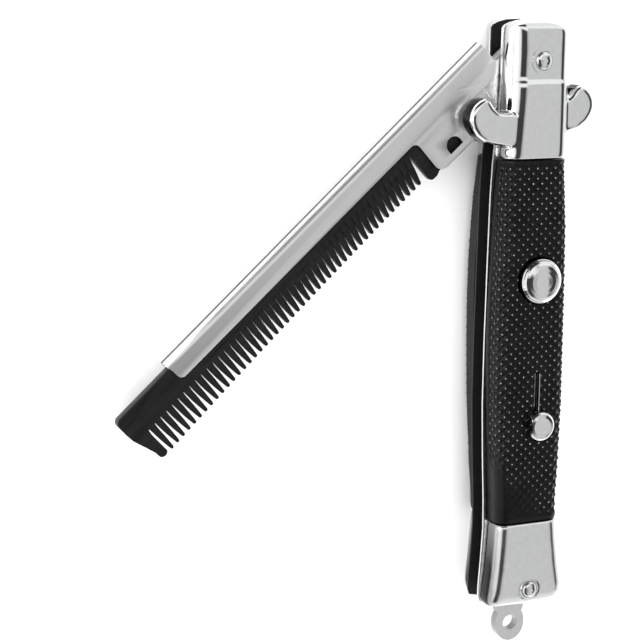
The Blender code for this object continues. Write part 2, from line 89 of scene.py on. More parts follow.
def split(tree, vector):
    """The x, y and z of a vector."""
    parts = node(tree, "ShaderNodeSeparateXYZ")
    tree.links.new(vector, parts.inputs["Vector"])
    return parts.outputs["X"], parts.outputs["Y"], parts.outputs["Z"]


def noise(tree, vector, scale, detail=3.0, rough=0.5):
    """Noise, as its factor."""
    made = node(tree, "ShaderNodeTexNoise")
    made.inputs["Scale"].default_value = scale
    made.inputs["Detail"].default_value = detail
    made.inputs["Roughness"].default_value = rough
    tree.links.new(vector, made.inputs["Vector"])
    return made.outputs["Fac"]


def spread(tree, value, low_in, high_in, low, high):
    """A value mapped from one range to another, clamped."""
    made = node(tree, "ShaderNodeMapRange")
    made.inputs["From Min"].default_value = low_in
    made.inputs["From Max"].default_value = high_in
    made.inputs["To Min"].default_value = low
    made.inputs["To Max"].default_value = high
    tree.links.new(value, made.inputs["Value"])
    return made.outputs["Result"]


def math_node(tree, operation, first, second=0.0):
    """A math node on sockets or numbers."""
    made = node(tree, "ShaderNodeMath", operation=operation)
    for socket, value in zip(made.inputs, (first, second)):
        if isinstance(value, (int, float)):
            socket.default_value = value
        else:
            tree.links.new(value, socket)
    return made.outputs["Value"]


def mixed(tree, factor, first, second, blend="MIX"):
    """A colour between two by a factor; each is a socket or plain numbers."""
    made = node(tree, "ShaderNodeMix", data_type="RGBA", blend_type=blend)
    for index, colour in ((MIX_FIRST, first), (MIX_SECOND, second)):
        if isinstance(colour, tuple):
            made.inputs[index].default_value = (*colour, 1.0)
        else:
            tree.links.new(colour, made.inputs[index])
    if isinstance(factor, float):
        made.inputs[MIX_FACTOR].default_value = factor
    else:
        tree.links.new(factor, made.inputs[MIX_FACTOR])
    return made.outputs[MIX_RESULT]


def bump(tree, shader, height, strength, distance):
    """A bump on the shader from a height."""
    made = node(tree, "ShaderNodeBump")
    made.inputs["Strength"].default_value = strength
    made.inputs["Distance"].default_value = distance
    tree.links.new(height, made.inputs["Height"])
    tree.links.new(made.outputs["Normal"], shader.inputs["Normal"])


def facing_up(tree, low, high):
    """0 on walls and 1 on faces that look to the front or back, from the surface's own normal."""
    geometry = node(tree, "ShaderNodeNewGeometry")
    z = split(tree, geometry.outputs["Normal"])[2]
    return spread(tree, math_node(tree, "ABSOLUTE", z), low, high, 0.0, 1.0)


# The guards stand out past the grip's sides, from about this far off the middle, in metres.
GUARDS_FROM = 0.0071
GUARDS_TO = 0.0080
# Painted dark reflection on the guards' walls, and painted shade for the walls of the other chrome pieces.
PAINTED_GUARD_REFLECTION = (0.012, 0.012, 0.0125)
PAINTED_WALL_SHADE = (0.30, 0.30, 0.305)


def chrome_material(name, wall=(0.52, 0.52, 0.525), face=(0.86, 0.865, 0.87), ripple=0.12,
                    rough=0.045, turned_from=(0.12, 0.42)):
    """Bright plating over a polished casting: faint ripple, smudges and fine hairlines.

    The walls of the guards are coloured near black as a painted dark reflection, and all walls are coloured
    darker than the faces as painted shade.
    """
    mat, tree, shader = new_material(name)
    shader.inputs["Metallic"].default_value = 1.0
    place = mapped(tree, EVEN)
    smudge = spread(tree, noise(tree, place, 260.0, 4.0, 0.6), 0.35, 0.7, rough, rough + 0.075)
    tree.links.new(smudge, shader.inputs["Roughness"])
    off_middle = math_node(tree, "ABSOLUTE", split(tree, place)[0])
    # Past the guards' roots the walls take the painted dark reflection.
    walls = mixed(tree, spread(tree, off_middle, GUARDS_FROM, GUARDS_TO, 0.0, 1.0), wall, PAINTED_GUARD_REFLECTION)
    # Walls are coloured darker than the faces by their normal: painted shade.
    tone = mixed(tree, facing_up(tree, *turned_from), walls, face)
    dull = spread(tree, noise(tree, place, 900.0, 3.0, 0.6), 0.3, 0.75, 1.0, 0.93)
    grey = node(tree, "ShaderNodeCombineXYZ")
    for socket in grey.inputs:
        tree.links.new(dull, socket)
    shade = mixed(tree, 1.0, tone, grey.outputs["Vector"], "MULTIPLY")
    tree.links.new(shade, shader.inputs["Base Color"])
    waves = noise(tree, place, 170.0, 1.5, 0.4)
    hair = noise(tree, mapped(tree, HAIR_LINES, HAIR_TURN), 1.0, 2.0, 0.5)
    height = math_node(tree, "ADD", waves, math_node(tree, "MULTIPLY", hair, 0.004))
    bump(tree, shader, height, ripple, 0.0006)
    return mat


def sheet_material(name, tone, low=0.16, high=0.30, along_x=True, crease=False, metallic=1.0,
                   painted_edge_shade=1.0):
    """Polished steel sheet with fine rolling lines along it; its walls take the tone times an edge factor,
    as painted shade.
    """
    mat, tree, shader = new_material(name)
    shader.inputs["Metallic"].default_value = metallic
    if metallic == 0.0:
        shader.inputs["Specular IOR Level"].default_value = 0.2
    grain = noise(tree, mapped(tree, LINES_ALONG_X if along_x else LINES_ALONG_Y), 1.0, 3.0, 0.6)
    blot = noise(tree, mapped(tree, EVEN), 180.0, 3.0, 0.55)
    rough = math_node(tree, "ADD", spread(tree, grain, 0.3, 0.7, low, high),
                      spread(tree, blot, 0.35, 0.7, 0.0, 0.04))
    tree.links.new(rough, shader.inputs["Roughness"])
    dull = tuple(channel * 0.95 for channel in tone)
    sheet = mixed(tree, spread(tree, grain, 0.25, 0.75, 0.0, 1.0), dull, tone)
    # Painted shade: walls get the tone times the edge factor, which darkens them where it is below 1.
    edge = tuple(channel * painted_edge_shade for channel in tone)
    tree.links.new(mixed(tree, facing_up(tree, 0.10, 0.34), edge, sheet), shader.inputs["Base Color"])
    height = math_node(tree, "MULTIPLY", grain, 0.05)
    if crease:
        height = math_node(tree, "ADD", height, pressed_line(tree))
    bump(tree, shader, height, 0.14, 0.00005)
    return mat


# The pressed line's corners on the comb's plate: distance from the pivot, and height over it.
PRESSED_CORNERS = ((15.3, 6.2), (11.1, 3.6), (11.1, 0.6))
PRESSED_HALF = 0.08
PRESSED_FADE = 0.26
PRESSED_DEPTH = -4.5


def pressed_line(tree):
    """The faint pressed line on the comb's plate, from the distance to its two straight runs."""
    coords = node(tree, "ShaderNodeTexCoord")
    x, y, _ = split(tree, coords.outputs["Object"])
    along = math_node(tree, "MULTIPLY", x, 1000.0)
    out = math_node(tree, "MULTIPLY", y, -1000.0)
    runs = []
    for (ax, ay), (bx, by) in zip(PRESSED_CORNERS, PRESSED_CORNERS[1:]):
        length = math.hypot(bx - ax, by - ay)
        ux, uy = (bx - ax) / length, (by - ay) / length
        dx = math_node(tree, "SUBTRACT", along, ax)
        dy = math_node(tree, "SUBTRACT", out, ay)
        t = math_node(tree, "ADD", math_node(tree, "MULTIPLY", dx, ux), math_node(tree, "MULTIPLY", dy, uy))
        t = math_node(tree, "MINIMUM", math_node(tree, "MAXIMUM", t, 0.0), length)
        ex = math_node(tree, "SUBTRACT", dx, math_node(tree, "MULTIPLY", t, ux))
        ey = math_node(tree, "SUBTRACT", dy, math_node(tree, "MULTIPLY", t, uy))
        squares = math_node(tree, "ADD", math_node(tree, "MULTIPLY", ex, ex),
                            math_node(tree, "MULTIPLY", ey, ey))
        runs.append(math_node(tree, "SQRT", squares))
    nearest = math_node(tree, "MINIMUM", runs[0], runs[1])
    return spread(tree, nearest, PRESSED_HALF, PRESSED_FADE, PRESSED_DEPTH, 0.0)


def grip_material(name):
    """Black moulded grip, with a painted highlight on its points."""
    mat, tree, shader = new_material(name)
    place = mapped(tree, EVEN)
    point = node(tree, "ShaderNodeAttribute", attribute_name="point_height")
    # Painted highlight: the points are coloured light grey, varied by noise, and they are also less rough.
    point_glint = spread(tree, point.outputs["Fac"], 0.74, 0.92, 0.0, 1.0)
    glint_spread = spread(tree, noise(tree, place, 420.0, 3.0, 0.6), 0.35, 0.65, 0.35, 1.0)
    blot = spread(tree, noise(tree, place, 220.0, 4.0, 0.6), 0.3, 0.7, 0.0, 1.0)
    ground = mixed(tree, blot, (0.002, 0.002, 0.0021), (0.005, 0.005, 0.0049))
    tone = mixed(tree, math_node(tree, "MULTIPLY", point_glint, glint_spread), ground, (0.42, 0.42, 0.425))
    tree.links.new(tone, shader.inputs["Base Color"])
    skin = spread(tree, noise(tree, place, 1500.0, 2.0), 0.3, 0.7, 0.32, 0.42)
    rough = math_node(tree, "SUBTRACT", skin, math_node(tree, "MULTIPLY", point_glint, 0.14))
    tree.links.new(rough, shader.inputs["Roughness"])
    shader.inputs["Specular IOR Level"].default_value = 0.16
    bump(tree, shader, noise(tree, place, 5200.0, 2.0, 0.6), 0.25, 0.00004)
    return mat


def plastic_material(name):
    """Black comb plastic with a fine moulded texture and faint flow streaks."""
    mat, tree, shader = new_material(name)
    place = mapped(tree, EVEN)
    streak = spread(tree, noise(tree, mapped(tree, FLOW_LINES), 1.0, 3.0, 0.55), 0.3, 0.7, 0.0, 1.0)
    tone = mixed(tree, streak, (0.004, 0.004, 0.0042), (0.009, 0.009, 0.009))
    tree.links.new(tone, shader.inputs["Base Color"])
    shader.inputs["Specular IOR Level"].default_value = 0.2
    rough = spread(tree, noise(tree, place, 1400.0, 3.0, 0.6), 0.3, 0.7, 0.30, 0.46)
    tree.links.new(rough, shader.inputs["Roughness"])
    bump(tree, shader, noise(tree, place, 4200.0, 2.0, 0.6), 0.3, 0.00005)
    return mat


chrome = chrome_material("cap_chrome")
end_chrome = chrome_material("end_cap_chrome", wall=PAINTED_WALL_SHADE, rough=0.15, turned_from=(0.25, 0.95))
bright = chrome_material("bright_chrome", wall=PAINTED_WALL_SHADE, ripple=0.05)
lug_metal = chrome_material("lug_chrome", wall=PAINTED_WALL_SHADE, face=(0.80, 0.80, 0.80), ripple=0.10)
liner_metal = sheet_material("liner_steel", (0.80, 0.80, 0.81), along_x=False)
# The rear liner is a near-black non-metal instead of steel: painted shade for the dim inside of the grip's
# slot.
shaded_rear_liner = sheet_material("rear_liner_painted_shade", (0.012, 0.012, 0.0125), low=0.25, high=0.38,
                            along_x=False, metallic=0.0)
spacer_metal = sheet_material("spacer_steel", (0.16, 0.16, 0.16), low=0.3, high=0.45, along_x=False)
# The comb's sheet has its walls coloured near black: painted shade for the fold's dark outline.
comb_metal = sheet_material("comb_steel", (0.94, 0.94, 0.945), low=0.31, high=0.37, crease=True,
                            painted_edge_shade=0.06)
grip_black = grip_material("checkered_black")
comb_black = plastic_material("comb_black")


# Making pieces.

WELD = 0.000005


def dress(obj, mat):
    """One material on an object."""
    obj.data.materials.clear()
    obj.data.materials.append(mat)


def add_object(name, mesh, mat):
    """An object with its origin on the pivot."""
    obj = bpy.data.objects.new(name, mesh)
    bpy.context.scene.collection.objects.link(obj)
    obj.location = PIVOT
    dress(obj, mat)
    return obj


def apply_modifiers(obj):
    """The object's mesh becomes what its modifiers make of it."""
    bpy.context.view_layer.update()
    graph = bpy.context.evaluated_depsgraph_get()
    mesh = bpy.data.meshes.new_from_object(obj.evaluated_get(graph))
    obj.modifiers.clear()
    obj.data = mesh


def add_bevel(obj, width, angle=None):
    """A narrow round on the edges, above an angle where one is given."""
    bevel = obj.modifiers.new("bevel", "BEVEL")
    bevel.width = width * MM
    bevel.segments = 2
    if angle is not None:
        bevel.limit_method = "ANGLE"
        bevel.angle_limit = math.radians(angle)


def shade(obj, mat, sharp=None):
    """Smooth shading with edges sharp above an angle, and one material."""
    obj.data.shade_smooth()
    if sharp is not None:
        obj.data.set_sharp_from_angle(angle=math.radians(sharp))
    dress(obj, mat)


def write_outward(work, mesh):
    """Turns the faces outward and writes them to the mesh."""
    bmesh.ops.recalc_face_normals(work, faces=work.faces)
    work.to_mesh(mesh)
    work.free()


def filled_outline(name, loops, thickness):
    """A flat outline with holes, filled, with half its thickness on either side."""
    curve = bpy.data.curves.new(name, "CURVE")
    curve.dimensions = "2D"
    curve.fill_mode = "BOTH"
    curve.extrude = thickness * MM / 2.0
    for loop in loops:
        spline = curve.splines.new("POLY")
        spline.points.add(len(loop) - 1)
        for point, (x, y) in zip(spline.points, loop):
            point.co = (x * MM, y * MM, 0.0, 1.0)
        spline.use_cyclic_u = True
    holder = bpy.data.objects.new(name, curve)
    bpy.context.scene.collection.objects.link(holder)
    bpy.context.view_layer.update()
    graph = bpy.context.evaluated_depsgraph_get()
    mesh = bpy.data.meshes.new_from_object(holder.evaluated_get(graph))
    bpy.data.objects.remove(holder, do_unlink=True)
    work = bmesh.new()
    work.from_mesh(mesh)
    bmesh.ops.remove_doubles(work, verts=work.verts, dist=WELD)
    return mesh, work


def outline_mesh(name, loops, z_low, z_high):
    """A flat outline with holes, extruded between two heights."""
    mesh, work = filled_outline(name, loops, z_high - z_low)
    bmesh.ops.translate(work, verts=work.verts, vec=(0.0, 0.0, (z_low + z_high) * MM / 2.0))
    write_outward(work, mesh)
    return mesh


def cut_across(work, y, dist):
    """Edges across a mesh at one y."""
    parts = work.verts[:] + work.edges[:] + work.faces[:]
    bmesh.ops.bisect_plane(work, geom=parts, plane_co=(0.0, y * MM, 0.0), plane_no=(0.0, 1.0, 0.0),
                           dist=dist)


def arc(cx, cy, radius, start, end, steps):
    """Points of an arc, angles in degrees."""
    points = []
    for i in range(steps + 1):
        angle = math.radians(start + (end - start) * i / steps)
        points.append((cx + radius * math.cos(angle), cy + radius * math.sin(angle)))
    return points


def circle(cx, cy, radius, steps):
    """Points of a whole circle."""
    return arc(cx, cy, radius, 0.0, 360.0 * (steps - 1) / steps, steps - 1)


# Checkered scales: a fine grid over the scale's section, with the checkering sunk into it.
# Columns: y, reach to the left and to the right, height of the face, left and right edge rounds.
SCALE = np.array([
    (-19.5, 7.15, 6.2, 7.75, 2.6, 2.6),
    (-20.2, 7.3, 6.25, 7.95, 2.8, 2.8),
    (-23.5, 7.6, 6.4, 8.15, 2.9, 2.9),
    (-27.0, 7.9, 6.6, 8.3, 3.0, 3.0),
    (-33.0, 8.15, 6.9, 8.4, 3.0, 3.0),
    (-40.0, 8.4, 7.05, 8.4, 3.0, 3.0),
    (-48.0, 8.7, 7.15, 8.4, 3.0, 3.0),
    (-56.0, 8.85, 7.2, 8.4, 3.0, 3.0),
    (-62.0, 8.75, 7.25, 8.4, 3.0, 3.0),
    (-69.0, 8.5, 7.3, 8.4, 3.0, 3.0),
    (-76.0, 8.2, 7.15, 8.4, 3.0, 3.0),
    (-84.0, 7.8, 6.95, 8.3, 2.9, 2.9),
    (-89.0, 7.5, 6.8, 8.05, 2.8, 2.8),
    (-92.9, 7.35, 6.85, 7.8, 2.6, 2.6),
    (-93.8, 7.3, 6.85, 7.5, 2.5, 2.5),
])
REAR_LEFT = (7.15, 7.3, 7.55, 7.95, 8.35, 8.7, 8.85, 8.75, 8.6, 8.4, 7.95, 7.35, 6.95, 6.8, 6.75)
SCALE_INNER = 2.8
SCALE_ROWS = 430
SCALE_AROUND = 170
POINT_STEP = 2.0
CHECKER_DEPTH = 0.42

# Widths of the plain rims: each pair is where the checkering starts and where it is at full depth.
FRONT_PLAIN = 0.9
REAR_PLAIN = 3.1
LEFT_FADE = 0.6
RIGHT_RIM = (0.6, 1.0)
TOP_RIM = (0.35, 0.75)
BOTTOM_RIM = (1.0, 2.0)

# The lower left corner is smooth, and the lowest points are low on the left.
CORNER_ACROSS = (6.2, 7.2)
CORNER_DOWN = (78.0, 84.0)
CORNER_SLOPE = 0.09
CORNER_Y = 80.0
LOW_ACROSS = (-2.0, 4.0)
LOW_DOWN = (84.0, 92.0)
LOW_SHARE = 0.75


def section_points(left, right, face, left_round, right_round, count):
    """Points and outward normals round a section, evenly along its length from the left wall."""
    left_round = min(left_round, face - SCALE_INNER - 0.3)
    bend_from = face - left_round - SCALE_INNER
    flat_from = bend_from + left_round * math.pi / 2.0
    flat_to = flat_from + left + right - left_round - right_round
    bend_to = flat_to + right_round * math.pi / 2.0
    total = bend_to + face - right_round - SCALE_INNER
    t = np.linspace(0.0, total, count)
    first = np.clip((t - bend_from) / left_round, 0.0, math.pi / 2.0)
    second = np.clip((t - flat_to) / right_round, 0.0, math.pi / 2.0)
    across = np.clip(t - flat_from, 0.0, flat_to - flat_from)
    x = -left + left_round * (1.0 - np.cos(first)) + across + right_round * np.sin(second)
    z = SCALE_INNER + np.clip(t, 0.0, bend_from) + left_round * np.sin(first)
    z -= right_round * (1.0 - np.cos(second)) + np.clip(t - bend_to, 0.0, total)
    on_left = t < (flat_from + flat_to) / 2.0
    nx = np.where(on_left, -np.cos(first), np.sin(second))
    nz = np.where(on_left, np.sin(first), np.cos(second))
    return x, z, nx, nz, t - (flat_from + left - left_round)


def checker(a, b):
    """Height of the checkering from 0 in a groove to 1 on a point."""
    first = np.abs((a + b) / POINT_STEP - np.round((a + b) / POINT_STEP)) * 2.0
    second = np.abs((a - b) / POINT_STEP - np.round((a - b) / POINT_STEP)) * 2.0
    return np.clip(1.0 - np.maximum(first, second), 0.0, 1.0)


def smooth_step(value, low, high):
    """0 below low, 1 above high, smooth between."""
    t = np.clip((value - low) / (high - low), 0.0, 1.0)
    return t * t * (3.0 - 2.0 * t)


def cut_share(a, y, top, bottom, plain):
    """Share of the checkering's depth across a row: 0 on the plain rims, 1 inside them."""
    left_rim = smooth_step(a, a[0] + plain, a[0] + plain + LEFT_FADE)
    right_rim = smooth_step(-a, -a[-1] + RIGHT_RIM[0], -a[-1] + RIGHT_RIM[1])
    sides = left_rim * right_rim
    ends = smooth_step(top - y, *TOP_RIM) * smooth_step(y - bottom, *BOTTOM_RIM)
    tilted = -a - CORNER_SLOPE * (y + CORNER_Y)
    corner = 1.0 - smooth_step(tilted, *CORNER_ACROSS) * smooth_step(-y, *CORNER_DOWN)
    lower = 1.0 - LOW_SHARE * smooth_step(-y, *LOW_DOWN) * smooth_step(-a, *LOW_ACROSS)
    return sides * ends * corner * lower


def cut_hole(obj, loop):
    """Cuts an outline through a piece's front half."""
    tool = bpy.data.objects.new("tool", outline_mesh("tool", [loop], 0.0, 12.0))
    bpy.context.scene.collection.objects.link(tool)
    tool.location = PIVOT
    cut = obj.modifiers.new("cut", "BOOLEAN")
    cut.operation = "DIFFERENCE"
    cut.solver = "EXACT"
    cut.object = tool
    apply_modifiers(obj)
    bpy.data.objects.remove(tool, do_unlink=True)


def scale_mesh(name, rows_table, plain, holes):
    """A scale drawn face up, with the checkering above a plain strip of the left wall."""
    top, bottom = rows_table[0, 0], rows_table[-1, 0]
    table = rows_table[np.argsort(rows_table[:, 0])]
    verts = []
    heights = []
    for y in np.linspace(top, bottom, SCALE_ROWS):
        sizes = [float(np.interp(y, table[:, 0], table[:, i])) for i in range(1, 6)]
        x, z, nx, nz, a = section_points(*sizes, SCALE_AROUND)
        level = np.full(SCALE_AROUND, y)
        wave = checker(a, level)
        keep = cut_share(a, y, top, bottom, plain)
        sink = CHECKER_DEPTH * keep * (1.0 - wave)
        verts.append(np.stack([x - nx * sink, level, z - nz * sink], axis=1))
        heights.append(wave * keep)
    points = [tuple(point) for point in np.array(verts).reshape(-1, 3) * MM]
    around, rows = SCALE_AROUND, SCALE_ROWS
    faces = []
    for i in range(rows - 1):
        for j in range(around - 1):
            here = i * around + j
            faces.append((here, here + 1, here + around + 1, here + around))
    # Inner face and ends close the solid.
    for i in range(rows - 1):
        faces.append((i * around, (i + 1) * around, (i + 2) * around - 1, (i + 1) * around - 1))
    faces.append(tuple(range(around - 1, -1, -1)))
    faces.append(tuple(range((rows - 1) * around, rows * around)))
    mesh = bpy.data.meshes.new(name)
    mesh.from_pydata(points, [], faces)
    layer = mesh.attributes.new("point_height", "FLOAT", "POINT")
    layer.data.foreach_set("value", list(np.array(heights).reshape(-1)))
    work = bmesh.new()
    work.from_mesh(mesh)
    write_outward(work, mesh)
    obj = add_object(name, mesh, grip_black)
    for loop in holes:
        cut_hole(obj, loop)
    shade(obj, grip_black, 70.0)
    return obj


BUTTON_Y = -43.4
BUTTON_HOLE = 4.85
SLIT_X = 0.3
SLIT_HALF = 0.6
SLIT_TOP = -62.7
SLIT_BOTTOM = -76.0

button_loop = circle(0.0, BUTTON_Y, BUTTON_HOLE, 72)
slit_loop = arc(SLIT_X, SLIT_TOP, SLIT_HALF, 0.0, 180.0, 8)
slit_loop += arc(SLIT_X, SLIT_BOTTOM, SLIT_HALF, 180.0, 360.0, 8)
front_scale = scale_mesh("front_scale_checkered", SCALE, FRONT_PLAIN, [button_loop, slit_loop])
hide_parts("front_scale")
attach(front_scale, "grip")
rear_rows = SCALE.copy()
rear_rows[:, 1] = REAR_LEFT
rear_scale = scale_mesh("rear_scale_checkered", rear_rows, REAR_PLAIN, [])
rear_scale.data.transform(Matrix.Scale(-1.0, 4, (0.0, 0.0, 1.0)))
rear_scale.data.flip_normals()
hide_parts("rear_scale")
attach(rear_scale, "grip")


# The slit's bright edge: a thin steel strip standing along its right side, clear of the knob's neck.
LIP_LEFT = 0.64
LIP_RIGHT = 0.86
LIP_TOP = -62.5
LIP_BOTTOM = -76.2
LIP_FOOT = 6.9
LIP_CREST = 8.3

lip_loop = [(LIP_LEFT, LIP_TOP), (LIP_LEFT, LIP_BOTTOM), (LIP_RIGHT, LIP_BOTTOM), (LIP_RIGHT, LIP_TOP)]
slit_lip = add_object("slit_lip", outline_mesh("slit_lip", [lip_loop], LIP_FOOT, LIP_CREST), bright)
add_bevel(slit_lip, 0.05)
apply_modifiers(slit_lip)
shade(slit_lip, bright, 40.0)
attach(slit_lip, "grip")


# Cast caps: the solids with their edges melted together and polished.
CAP_WELD = 0.000003
CAP_VOXEL = 0.2
CAP_PASSES = 30
CAP_GROWTH = 0.06


def polished_cap(node_name, mat):
    """A smoothed copy of a cap's solid, grown by what the smoothing takes off."""
    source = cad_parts[node_name]
    mesh = source.data.copy()
    mesh.transform(source.matrix_world)
    mesh.transform(Matrix.Translation(-PIVOT))
    obj = add_object(node_name + "_polished", mesh, mat)
    work = bmesh.new()
    work.from_mesh(obj.data)
    bmesh.ops.remove_doubles(work, verts=work.verts, dist=CAP_WELD)
    work.to_mesh(obj.data)
    work.free()
    remesh = obj.modifiers.new("remesh", "REMESH")
    remesh.mode = "VOXEL"
    remesh.voxel_size = CAP_VOXEL * MM
    smooth = obj.modifiers.new("smooth", "SMOOTH")
    smooth.factor = 0.5
    smooth.iterations = CAP_PASSES
    grown = obj.modifiers.new("grown", "DISPLACE")
    grown.strength = CAP_GROWTH * MM
    grown.mid_level = 0.0
    apply_modifiers(obj)
    shade(obj, mat)
    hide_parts(node_name)
    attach(obj, "grip")


for side in ("front", "rear"):
    polished_cap(side + "_top_bolster", chrome)
    polished_cap(side + "_bottom_bolster", end_chrome)


# Seats of the pins: a collar in the clearance round each head, nearly flush with the cap.
# Columns: name, centre, the head's radius, top, width.
PIN_SEATS = (
    ("pivot_seat", (0.0, 0.0), 1.8, 7.39, 0.95),
    ("rivet_seat", (0.3, -108.5), 1.7, 7.58, 0.42),
)
SEAT_CLEAR = 0.04
SEAT_DEPTH = 1.2
SEAT_OUTER_EDGE = 0.1
SEAT_INNER_EDGE = 0.08
SEAT_STEPS = 48


def pin_seat(name, centre, radius, top, width, side):
    """A collar turned about a pin's axis."""
    inner, outer = radius + SEAT_CLEAR, radius + width
    profile = [(outer, top - SEAT_DEPTH), (outer, top - SEAT_OUTER_EDGE), (outer - SEAT_OUTER_EDGE, top),
               (inner + SEAT_INNER_EDGE, top), (inner, top - SEAT_INNER_EDGE), (inner, top - SEAT_DEPTH)]
    work = bmesh.new()
    rings = []
    for i in range(SEAT_STEPS):
        angle = 2.0 * math.pi * i / SEAT_STEPS
        ring = []
        for r, z in profile:
            x = (centre[0] + r * math.cos(angle)) * MM
            y = (centre[1] + r * math.sin(angle)) * MM
            ring.append(work.verts.new((x, y, side * z * MM)))
        rings.append(ring)
    for i in range(SEAT_STEPS):
        here, there = rings[i], rings[(i + 1) % SEAT_STEPS]
        for j in range(len(profile)):
            k = (j + 1) % len(profile)
            work.faces.new((here[j], here[k], there[k], there[j]))
    mesh = bpy.data.meshes.new(name)
    write_outward(work, mesh)
    seat = add_object(name, mesh, chrome)
    shade(seat, chrome, 30.0)
    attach(seat, "grip")


for seat_name, centre, radius, top, width in PIN_SEATS:
    pin_seat("front_" + seat_name, centre, radius, top, width, 1.0)
    pin_seat("rear_" + seat_name, centre, radius, top, width, -1.0)


# Comb's metal: one sheet, cut flat, folded over the spine and thickened.
SPINE_OUT = 10.0
SPINE_FALL = 0.0043
HALF = 1.7
BEND = 1.55
SHEET = 0.4
TOP_FLAT = HALF - BEND
BEND_LENGTH = BEND * math.pi / 2.0
FOLD_STEPS = 12
PLATE_END = 94.0
BORE = 2.1


def spine_height(along):
    """Height of the fold, which falls slightly towards the far end."""
    return SPINE_OUT - SPINE_FALL * along


def unfolded(along, out):
    """Distance from the spine's centre line, measured over the fold, of a height on the side."""
    return TOP_FLAT + BEND_LENGTH + (spine_height(along) - BEND - out)


def folded(along, w):
    """Height and depth of a point of the unfolded sheet."""
    top = spine_height(along)
    size = abs(w)
    side = 1.0 if w >= 0.0 else -1.0
    if size <= TOP_FLAT:
        return top, side * size
    if size <= TOP_FLAT + BEND_LENGTH:
        angle = (size - TOP_FLAT) / BEND
        return top - BEND + BEND * math.cos(angle), side * (TOP_FLAT + BEND * math.sin(angle))
    return top - BEND - (size - TOP_FLAT - BEND_LENGTH), side * HALF


def comb_sheet():
    """The folded metal spine with its tang."""
    tang = [(-a, o) for a, o in reversed(arc(0.0, 0.0, 5.0, -44.4, 90.0, 28))]
    path = [(6.0, SPINE_OUT - BEND), (6.0, 5.5), (5.85, 5.15), (5.5, 5.0)] + tang
    path += arc(26.9, -1.5, 2.0, -90.0, 0.0, 8)
    path += arc(30.2, 3.6, 1.3, 180.0, 90.0, 8)
    path += arc(92.6, 6.1, 1.2, -90.0, 0.0, 8)
    path += [(93.85, 7.4), (PLATE_END, 8.2), (94.15, spine_height(PLATE_END) - BEND + 0.3)]
    front = [(s, unfolded(s, o)) for s, o in path]
    rear = [(s, -unfolded(s, o)) for s, o in reversed(path)]
    eyelet = [(21.4, -2.2), (24.9, -2.2)] + arc(23.15, -1.35, 1.75, -10.0, 190.0, 24)
    bore = circle(0.0, 0.0, BORE, 40)
    loops = [front + rear]
    for hole in (eyelet, bore):
        loops.append([(s, unfolded(s, o)) for s, o in hole])
        loops.append([(s, -unfolded(s, o)) for s, o in hole])
    mesh, work = filled_outline("flat_sheet", loops, 0.0)
    levels = [TOP_FLAT + BEND_LENGTH * i / FOLD_STEPS for i in range(FOLD_STEPS + 1)]
    for w in [0.0] + levels + [-level for level in levels]:
        cut_across(work, w, 0.000001)
    for vert in work.verts:
        out, depth = folded(vert.co.x / MM, vert.co.y / MM)
        vert.co.y = -out * MM
        vert.co.z = depth * MM
    bmesh.ops.recalc_face_normals(work, faces=work.faces)
    outward = sum(face.normal.z * face.calc_center_median().z for face in work.faces)
    if outward < 0.0:
        bmesh.ops.reverse_faces(work, faces=work.faces)
    work.to_mesh(mesh)
    work.free()
    obj = add_object("comb_spine_sheet", mesh, comb_metal)
    solid = obj.modifiers.new("solid", "SOLIDIFY")
    solid.thickness = SHEET * MM
    solid.offset = -1.0
    solid.use_even_offset = True
    add_bevel(obj, 0.07, 55.0)
    apply_modifiers(obj)
    shade(obj, comb_metal, 40.0)
    return obj


spine = comb_sheet()
spine.rotation_euler = (0.0, 0.0, COMB_TURN)
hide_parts("comb_channel")
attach(spine, "comb")


# Plastic comb: the solid's outline with rounder, fuller teeth and softened edges.
TOOTH_COUNT = 47
FIRST_GAP = 31.55
LAST_GAP = 104.65
PITCH_GROWTH = 0.001
PLASTIC_START = 15.0
PLASTIC_END = 108.4
PLASTIC_TOP = 8.0
PLASTIC_HALF = 1.0
GROOVE_OUT = 3.9
GROOVE_HALF = 0.3
GROOVE_DEPTH = 0.2

# Teeth: the gaps' sides, the parts of a side where points stand, and the rounded tip.
GAP_SIDE = 0.05
GAP_SIDE_GROWTH = 0.09
ROOT_SHARE = 0.3
ROOT_LIFT = 0.12
SIDE_PARTS = (0.12, 0.3, 0.55, 0.8)
FAR_FULLNESS = 0.10
NEAR_FULLNESS = 0.05
SIDE_END = 0.4
TIP_HALF = 0.38
TIP_WIDTH = 0.37
TIP_ROUND = 0.34
TIP_STEPS = 6

# Below the groove the comb thins from this step towards the tips.
THIN_STEP = 0.08
THIN_MORE = 0.42
THIN_OVER = 4.2


def gap_at(number):
    """Distance from the pivot to the root of a gap; the gaps lie closer towards the pivot."""
    even = (LAST_GAP - FIRST_GAP) / TOOTH_COUNT
    return FIRST_GAP + even * number - PITCH_GROWTH * number * (TOOTH_COUNT - number)


def along_part(along):
    """0 at the first gap and 1 at the last."""
    return (along - FIRST_GAP) / (LAST_GAP - FIRST_GAP)


def root_out(along):
    """Height of the roots."""
    return 3.5 - 1.5 * along_part(along) ** 2


def tip_out(along):
    """Height of the tips."""
    return -2.5 - 0.35 * along_part(along) - 1.4 * along_part(along) ** 2


def lean(along):
    """How far a tip is beyond its root."""
    part = min(1.0, max(0.0, (along - 40.0) / 52.0))
    return 0.5 * (1.0 + math.cos(math.pi * part))


def gap_side(along):
    """Half the width of a gap near its root."""
    return GAP_SIDE + GAP_SIDE_GROWTH * along_part(along)


